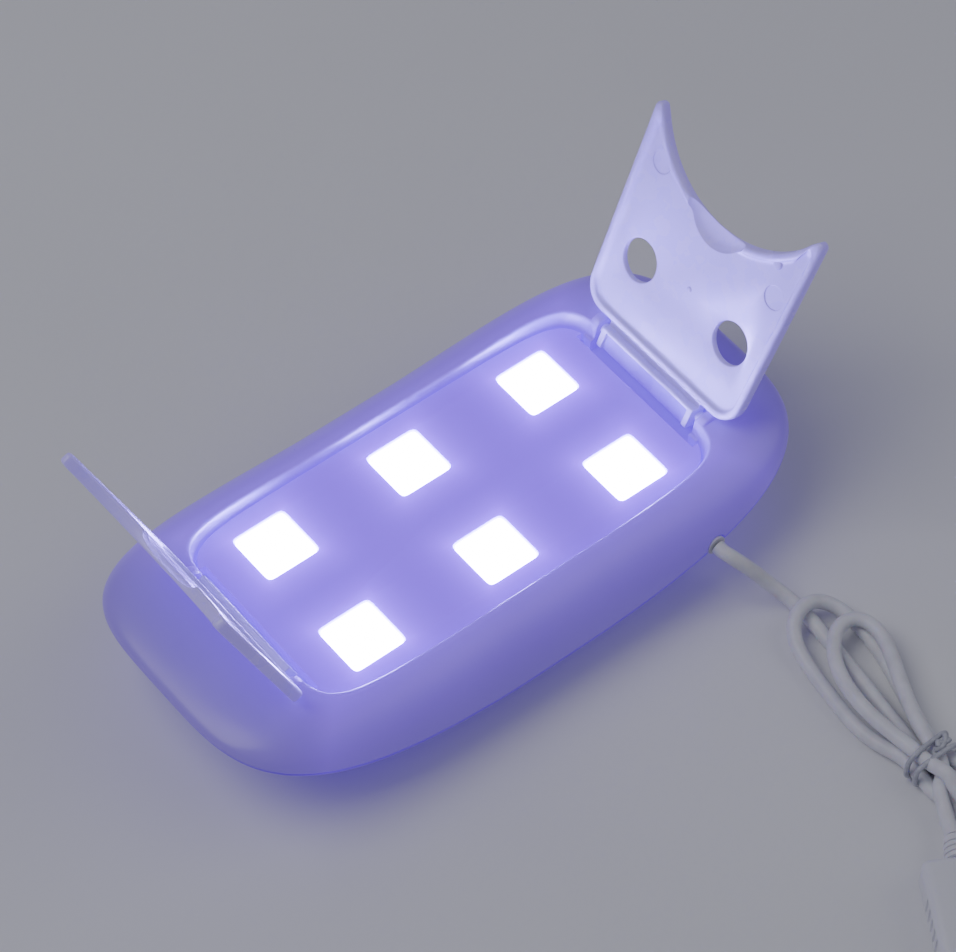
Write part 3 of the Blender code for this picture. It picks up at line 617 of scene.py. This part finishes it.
def make_tie(look):
    """Twist tie wound twice round the waist of the hank, its ends twisted together."""
    middle_x, middle_y = TIE_SPOT
    lines = []
    for shift, lean in ((1.2, 0.35), (-1.6, -0.2)):
        points = []
        for i in range(49):
            angle = 2 * pi * i / 48
            c, s = cos(angle), sin(angle)
            x = middle_x + 4.95 * abs(c) ** 0.55 * (1 if c > 0 else -1)
            z = 3.55 + 3.15 * abs(s) ** 0.6 * (1 if s > 0 else -1)
            points.append((x, middle_y + shift + lean * c, z))
        lines.append(in_mm(*points))
    for phase in (0.0, pi):
        points = []
        for i in range(24):
            t = i / 23
            c, s = cos(phase + 5 * t), sin(phase + 5 * t)
            x = middle_x + 0.4 + 3.2 * t + 0.5 * c
            y = middle_y - 0.4 + 0.5 * t + 0.5 * s
            points.append((x, y, 7.0 + 0.2 * s))
        lines.append(in_mm(*points))
    tie = tube("twist_tie", lines, 0.5 * MM, look)
    finish_piece(tie, "housing", "tie", "cord_tie")
    return tie


def make_plug(white, relief_look, steel):
    """Ribbed strain relief, overmould with grip ribs, and the standard metal end."""
    place = Matrix.Translation(PLUG_START) @ Matrix.Rotation(PLUG_TURN, 4, "Z")
    forward = place @ Matrix.Rotation(radians(90), 4, "Y")
    profile = [(1.5, -0.9), (1.8, -0.8)]
    for i in range(4):
        z = -0.3 + i * 1.15
        rib = 1.95 + 0.2 * i
        profile += [(rib, z), (rib, z + 0.7), (rib - 0.35, z + 0.8), (rib - 0.35, z + 1.1)]
    profile.append((2.6, 4.25))
    relief = new_object("plug_relief_ribbed", turned(in_mm(*profile)), relief_look, forward)
    finish_piece(relief, "housing", "cord", "plug_strain_relief")
    low = (4.6 * MM, -PLUG_HALF_WIDTH, -3.75 * MM)
    high = (26.6 * MM, PLUG_HALF_WIDTH, 3.75 * MM)
    body = new_object("usb_plug_overmould", rounded_box(low, high, 1.7 * MM, 6), white, place)
    for side in (-1, 1):
        wall = side * PLUG_HALF_WIDTH
        for k in range(5):
            x = (12.0 + k * 2.0) * MM
            low = (x, wall - 0.35 * MM, -2.2 * MM)
            high = (x + MM, wall + 0.35 * MM, 2.2 * MM)
            cut(body, new_object("groove", rounded_box(low, high, 0.2 * MM, 2), None, place))
    shade(body)
    finish_piece(body, "housing", "white_shell", "usb_plug_body")
    shell = frame["nodes"]["usb_plug_shell"]
    shell.data.materials[0] = steel
    return [relief, body, shell, frame["nodes"]["usb_plug_tongue"]]


# ---------------------------------------------------------------- housing

def seam_z(x):
    """Height of the seam between the two shells."""
    return PANEL_Z - 10.5 * MM + 10.5 * MM * (x / HALF_LENGTH) ** 2


def rim_z(x):
    """Height of the crest round the panel."""
    return PANEL_Z + 1.5 * MM + 1.75 * MM * (x / CREST[0]) ** 2


def ring(half, height, power=PANEL_POWER):
    """Ring at a height, which may be a function of x."""
    outline = superellipse(half, power, AROUND)
    return [Vector((x, y, height(x) if callable(height) else height)) for x, y in outline]


def crown_ring(inner, outer, angle):
    """Ring on the crown between the crest around the panel (90 degrees) and the seam (0)."""
    made = []
    for (x0, y0), (x1, y1) in zip(inner, outer):
        x = x0 + (x1 - x0) * cos(angle) ** (2 / 2.6)
        y = y0 + (y1 - y0) * cos(angle) ** (2 / 1.5)
        made.append(Vector((x, y, seam_z(x1) + (rim_z(x0) - seam_z(x1)) * sin(angle))))
    return made


def dome_ring(outline, angle, flat_z, depth):
    """Ring on the dome from the seam (0) down to the small flat (90 degrees) at flat_z."""
    made = []
    for x, y in outline:
        top = seam_z(x) - SEAM_GAP
        z = top - (top - seam_z(0) + depth) * sin(angle) ** 1.38 - flat_z
        soft = (z + (z * z + (0.35 * MM) ** 2) ** 0.5) / 2
        made.append(Vector((x * cos(angle) ** 1.38, y * cos(angle) ** 1.38, soft + flat_z)))
    return made


def widest_outlines():
    """Outer and inner outline of the wall at the seam."""
    outer = superellipse((HALF_LENGTH, HALF_WIDTH), EDGE_POWER, AROUND)
    return outer, superellipse((HALF_LENGTH - WALL, HALF_WIDTH - WALL), EDGE_POWER, AROUND)


def make_base(look):
    """Upper shell with the crest round the panel, the ledge under it, the hinge posts and the exit."""
    widest, inside = widest_outlines()
    crest = superellipse(CREST, PANEL_POWER, AROUND)
    under_crest = (CREST[0] + 0.4 * MM, CREST[1] + 0.2 * MM)
    inner_crest = superellipse(under_crest, PANEL_POWER, AROUND)
    rings = [ring((HALF_LENGTH - 0.35 * MM, HALF_WIDTH - 0.35 * MM), seam_z, EDGE_POWER)]
    for angle in (1.5, 5, *range(10, 71, 6), 75, 80, 84, 87):
        rings.append(crown_ring(crest, widest, radians(angle)))
    ledge = PANEL_Z - 2.3 * MM
    ledge_bottom = ledge - 1.6 * MM
    ledge_wall = (44.75 * MM, 22.6 * MM)
    opening = (40 * MM, 17 * MM)
    for inset, drop in ((0.0, 0.0), (0.35, -0.06), (0.65, -0.04), (0.85, 0.08), (0.97, 0.3)):
        half = (CREST[0] - inset * MM, CREST[1] - inset * 1.1 * MM)
        rings.append(ring(half, lambda x, d=drop: rim_z(x) - d * MM))
    rings.append(ring((44.9 * MM, 22.72 * MM), PANEL_Z + 0.3 * MM))
    rings.append(ring(ledge_wall, PANEL_Z - 0.3 * MM))
    rings.append(ring(ledge_wall, ledge))
    rings.append(ring(opening, ledge))
    rings.append(ring(opening, ledge_bottom))
    rings.append(ring(under_crest, ledge_bottom))
    for angle in (66, 50, 34, 18):
        drop = Vector((0, 0, WALL * sin(radians(angle))))
        rings.append([point - drop for point in crown_ring(inner_crest, inside, radians(angle))])
    rings.append(ring((HALF_LENGTH - WALL, HALF_WIDTH - WALL), seam_z, EDGE_POWER))
    base = new_object("base_shell_smooth", skin(rings, closed=True), look)
    for side in (-1, 1):
        cut_pocket(base, side)
    cut_exit(base)
    shade(base)
    finish_piece(base, "housing", "white_shell", "base_shell")


def cut_pocket(base, side):
    """Hinge pocket between two rounded knuckle posts."""
    near = 43.3 * MM
    far = 49.95 * MM
    wall = 1.4 * MM
    floor = PANEL_Z - 2.6 * MM
    half = 13.9 * MM
    outside = 16.1 * MM

    def block(x0, x1, y, z0, z1, edge=0.0):
        """Cutter from x0 to x1 on this side, as wide as y on both sides of the middle."""
        low, high = sorted((side * x0, side * x1))
        return new_object("tool", rounded_box((low, -y, z0), (high, y, z1), edge), None)

    cut(base, block(near - 1.5 * MM, far + wall, outside, floor - wall, PANEL_Z - 2.8 * MM), "UNION")
    cut(base, block(AXIS_X - 2 * MM, far + wall, outside, PANEL_Z - 3.3 * MM, AXIS_Z), "UNION")
    cut(base, block(43.9 * MM, AXIS_X, outside, PANEL_Z - 3 * MM, PANEL_Z + 0.1 * MM, 0.3 * MM), "UNION")
    profile = in_mm((1.9, 0), (2.2, 0.08), (2.42, 0.3), (2.5, 0.6), (2.5, 1.7), (2.42, 1.95), (2.25, 2.13),
                    (2.0, 2.2))
    for y in (-1, 1):
        turn = Matrix.Rotation(radians(90 * y), 4, "X")
        place = Matrix.Translation((side * AXIS_X, y * outside, AXIS_Z)) @ turn
        cut(base, new_object("tool", turned(profile, 56), None, place), "UNION")
    cut(base, block(near, far, half, floor, AXIS_Z + 0.6 * MM, 0.3 * MM))
    cut(base, block(near, 49.35 * MM, half, AXIS_Z - MM, PANEL_Z + 9 * MM))
    for y in (-1, 1):
        bore = turned(in_mm((1.16, 0), (1.16, 1.9)), 32)
        spot = Matrix.Translation((side * AXIS_X, y * 13.7 * MM, AXIS_Z))
        cut(base, new_object("tool", bore, None, spot @ Matrix.Rotation(radians(-90 * y), 4, "X")))


def cut_exit(shell):
    """Round hole for the lead, on the seam."""
    x = EXIT[0] * MM
    place = Matrix.Translation((x, -36 * MM, seam_z(x))) @ Matrix.Rotation(radians(-90), 4, "X")
    cut(shell, new_object("tool", turned(in_mm((2.2, 0), (2.2, 12))), None, place))


def make_top(look):
    """Domed shell under the lamp, with the holes of the power button and the indicator."""
    widest, inside = widest_outlines()
    lip = [(x * 0.9945, y * 0.99) for x, y in widest]
    outer = [[Vector((x, y, seam_z(x) - SEAM_GAP)) for x, y in lip]]
    for angle in (1.5, 4, 8, *range(12, 80, 4)):
        outer.append(dome_ring(widest, radians(angle), 0.0, DOME_DEPTH))
    inner_angles = (0, 12, 24, 36, 48, 60, 68, 76)
    inner = [dome_ring(inside, radians(a), WALL, DOME_DEPTH - WALL) for a in inner_angles]
    top = new_object("top_shell_smooth", skin(list(reversed(outer)) + inner, closed=False), look)
    button_hole = turned(in_mm((5.7, -1), (5.6, 0.05), (5.28, 0.3), (5.25, 4)), 64)
    cut(top, new_object("tool", button_hole, None))
    indicator_hole = turned(in_mm((1.3, -1), (1.3, 0.02), (1.1, 0.25), (1.1, 4)), 32)
    cut(top, new_object("tool", indicator_hole, None, Matrix.Translation((0, 8.0 * MM, 0))))
    cut_exit(top)
    shade(top)
    finish_piece(top, "housing", "white_shell", "top_shell")


def make_panel(look, lens_look):
    """Flat panel with six windows, a slot at each hinge, and a slightly domed lit lens in each window."""
    window = LENS_SIZE / 2 + 0.25 * MM
    outline = superellipse((44.4 * MM, 22.25 * MM), PANEL_POWER, 128)
    square = superellipse((window, window), LENS_POWER, LENS_POINTS)
    holes = [[(x + px, y + py) for px, py in square] for x in LED_X for y in LED_Y]
    middle = Matrix.Translation((0, 0, PANEL_Z - MM))
    panel = plate("panel_face", [outline] + holes, 2 * MM, 0.12 * MM, look, middle)
    for side in (-1, 1):
        low, high = sorted((side * 42.6 * MM, side * 50 * MM))
        slot = rounded_box((low, -16.5 * MM, PANEL_Z - 4 * MM), (high, 16.5 * MM, PANEL_Z + MM), 0)
        cut(panel, new_object("tool", slot, None))
    shade(panel)
    finish_piece(panel, "housing", "white_panel", "led_panel")
    spots = [(x, y) for y in LED_Y for x in LED_X]
    levels = ((0.0, -2.1), (0.0, -0.3), (0.12, -0.14), (0.4, -0.08), (2.5, -0.02), (4.2, 0.0))
    for number, (x, y) in enumerate(spots, 1):
        rings = []
        for shrink, z in levels:
            size = LENS_SIZE / 2 - shrink * MM
            outline = superellipse((size, size), LENS_POWER, LENS_POINTS)
            rings.append([(x + px, y + py, PANEL_Z + z * MM) for px, py in outline])
        lens = new_object(f"lit_window_{number}", skin(rings, closed=False), lens_look)
        finish_piece(lens, "housing", "lens", f"led_lens_{number}")


# ---------------------------------------------------------------- legs

def leg_outline(inset):
    """Cat's head seen flat, the same number of points at every inset."""
    fine = 10
    corner = 5.5 * MM - inset
    base = 2.9 * MM + inset
    half = 20.9 * MM - inset
    ear_y = 22.3 * MM - inset
    tip = 46.5 * MM - 2 * inset
    ear = 1.0 * MM
    arch = 23.5 * MM + inset
    arch_middle = 57.8 * MM
    right = []
    for i in range(fine + 1):
        angle = radians(-90 + 90 * i / fine)
        right.append((base + corner + corner * sin(angle), half - corner + corner * cos(angle)))
    for i in range(fine + 1):
        angle = radians(10 + 100 * i / fine)
        right.append((tip - ear + ear * sin(angle), ear_y - ear + ear * cos(angle)))
    start = asin((ear_y - 2.5 * MM) / arch)
    for i in range(3 * fine):
        angle = start * (1 - i / (3 * fine))
        right.append((arch_middle - arch * cos(angle), arch * sin(angle)))
    left = [(s, -y) for s, y in reversed(right)]
    return right + [(arch_middle - arch, 0.0)] + left


def hinge_tab(back, half):
    """Block between the knuckles with a rounded front edge and a chamfer at the back."""
    corner = 0.45 * MM
    bottom = -2.45 * MM
    top = 1.9 * MM
    arcs = ((top - corner, 0), (bottom + corner, 90))
    section = [(top, back)]
    for centre, first in arcs:
        for k in range(6):
            angle = radians(first + 90 * k / 5)
            section.append((centre + corner * cos(angle), TAB_FRONT - corner + corner * sin(angle)))
    section += [(bottom, -0.1 * MM), (-0.6 * MM, back)]
    mid_s = sum(s for s, _ in section) / len(section)
    mid_n = sum(n for _, n in section) / len(section)
    ends = [(half, 0.94), (half - 0.06 * MM, 0.975), (half - 0.2 * MM, 1.0)]
    rings = []
    for y, shrink in [(-y, shrink) for y, shrink in ends] + ends[::-1]:
        rings.append([(mid_s + (s - mid_s) * shrink, y, mid_n + (n - mid_n) * shrink) for s, n in section])
    return skin(rings, closed=False)


def make_leg(name, node, side, look):
    """Leg with a rounded lip round a shallow pan, two eye holes, a thumb scoop, its tab and two pins."""
    levels = ((0.55, 0.0), (0.25, 0.06), (0.07, 0.22), (0.0, 0.5), (0.0, 1.75), (0.09, 2.02), (0.28, 2.2),
              (0.6, 2.3), (1.05, 2.3), (1.28, 2.22), (1.45, 2.05), (1.62, 1.78), (1.82, 1.58), (2.1, 1.47),
              (2.45, 1.45))
    rings = [[(s, y, LEG_OUTER + n * MM) for s, y in leg_outline(inset * MM)] for inset, n in levels]
    leg = new_object(name, skin(rings, closed=False), look)

    def work(shape, s=0.0, y=0.0, n=0.0, operation="DIFFERENCE"):
        """Cut or add a shape at a place in millimetres along, across and out of the leg."""
        place = Matrix.Translation((s * MM, y * MM, n * MM))
        cut(leg, new_object("tool", shape, None, place), operation)

    face = LEG_INNER / MM
    flare = ((0.6, -1.2), (0.4, -1.0), (0.12, -0.88), (0.0, -0.6), (0.0, 0.15), (0.1, 0.33), (0.35, 0.45),
             (0.6, 1.4))
    for y in (-12.5, 12.5):
        work(turned(in_mm(*((4.2 + r, n) for r, n in flare)), 64), 17.0, y)
    bowl = ((7.95, -1.0), (7.75, 0.0), (7.55, 0.4), (7.25, 0.8), (6.7, 1.15), (5.8, 1.45), (4.6, 1.68),
            (3.0, 1.83), (1.2, 1.9))
    work(turned(in_mm(*((r, face - depth) for r, depth in bowl)), 72), 37.0)
    for s, y in ((36.7, 16.4), (31.0, -17.0)):
        work(turned(in_mm((2.3, 0), (2.3, 0.2), (2.5, 1)), 40), s, y, face - 0.98)
    work(turned(in_mm((1.0, 0), (1.0, 0.5), (0.8, 0.68), (0.4, 0.7)), 24), 37.0, -14.9, face - 1.2, "UNION")
    work(turned(in_mm((0.55, 0), (0.5, 0.35), (0.25, 0.5)), 16), 19.8, 0, face - 1.1, "UNION")
    half = TAB_HALF_WIDTH
    back = LEG_OUTER + 0.03 * MM
    work(rounded_box((0, -half, back), (4.1 * MM, half, 1.0 * MM), 0.12 * MM, 2), operation="UNION")
    work(hinge_tab(back, half), operation="UNION")
    low = (-5 * MM, TAB_RIB - half, DISH_FLOOR)
    high = (DISH_TOP, half - TAB_RIB, 4 * MM)
    work(rounded_box(low, high, 0.2 * MM, 3))
    for y in (-1, 1):
        place = Matrix.Translation((0, y * 12.1 * MM, 0)) @ Matrix.Rotation(radians(-90 * y), 4, "X")
        pin = turned(in_mm((1.1, 0), (1.1, 3.0), (0.9, 3.2)), 32)
        cut(leg, new_object("tool", pin, None, place), "UNION")
    shade(leg)
    along = Vector((side * sin(LEG_LEAN), 0, cos(LEG_LEAN)))
    inwards = Vector((-side * cos(LEG_LEAN), 0, sin(LEG_LEAN)))
    turn = Matrix((along, inwards.cross(along), inwards)).transposed().to_4x4()
    leg.matrix_world = Matrix.Translation((side * AXIS_X, 0, AXIS_Z)) @ turn
    finish_piece(leg, node, "white_leg", node)


# ---------------------------------------------------------------- carried-over parts and studio

def dress_frame():
    """Procedural finishes for the CAD pieces that stay."""
    looks = {
        "white_shell": plastic("shell_plastic_plain", (0.80, 0.80, 0.85), 0.3).material,
        "board": board_material(),
        "steel": metal_material("plated_steel", (0.62, 0.63, 0.65), 0.3),
        "black": plastic("black_plastic", (0.03, 0.03, 0.035), 0.45, softness=0.0).material,
        "button": plastic("button_plastic", (0.72, 0.72, 0.78), 0.32).material,
        "cord": rubber_material("grommet_rubber", (0.78, 0.78, 0.83), 0.5),
        "led": plastic("led_phosphor", (0.90, 0.78, 0.30), 0.4, softness=0.0).material,
        "lens": plastic("light_pipe", (0.85, 0.85, 0.95), 0.15).material,
    }
    for entry in frame["record"]["subparts"]:
        node = frame["nodes"][entry["node"]]
        look = looks.get(entry["material_slot"])
        if look and node.data.materials:
            node.data.materials[0] = look
    return looks


def make_studio():
    """Pale floor and two large soft lights."""
    bm = bmesh.new()
    bmesh.ops.create_grid(bm, x_segments=1, y_segments=1, size=3)
    s = Shader("pale_floor", (0.80, 0.80, 0.82), 0.6)
    stops = ((0.3, (0.78, 0.78, 0.80)), (0.7, (0.82, 0.82, 0.84)))
    s.put("Base Color", s.ramp(s.noise(6, 3), stops))
    floor = new_object("floor", bm, s.material, Matrix.Translation((0, 0, -0.2 * MM)))
    world = bpy.data.worlds.new("studio")
    world.use_nodes = True
    background = world.node_tree.nodes["Background"]
    background.inputs["Color"].default_value = WORLD_COLOUR
    background.inputs["Strength"].default_value = WORLD_LIGHT
    bpy.context.scene.world = world
    for name, place, size, power in LAMPS:
        light = bpy.data.lights.new(name, "AREA")
        light.size = size
        light.energy = power
        made = bpy.data.objects.new(name, light)
        made.location = place
        made.rotation_euler = (-Vector(place)).to_track_quat("-Z", "Y").to_euler()
        bpy.context.scene.collection.objects.link(made)


# ---------------------------------------------------------------- the whole scene

make_camera()
looks = dress_frame()
shell_look = shell_material()
plug_look = plastic("plug_plastic", (0.80, 0.80, 0.85), 0.32).material
leg_look = leg_material()
cord_look = rubber_material("cord_pvc", (0.80, 0.80, 0.85), 0.45)
cord = make_cord(cord_look)
tie = make_tie(tie_material())
plug_pieces = make_plug(plug_look, cord_look, looks["steel"])
make_base(shell_look)
make_top(shell_look)
make_panel(panel_material(), lens_material())
make_leg("right_leg_fine", "right_leg", 1, leg_look)
make_leg("left_leg_fine", "left_leg", -1, leg_look)
make_studio()
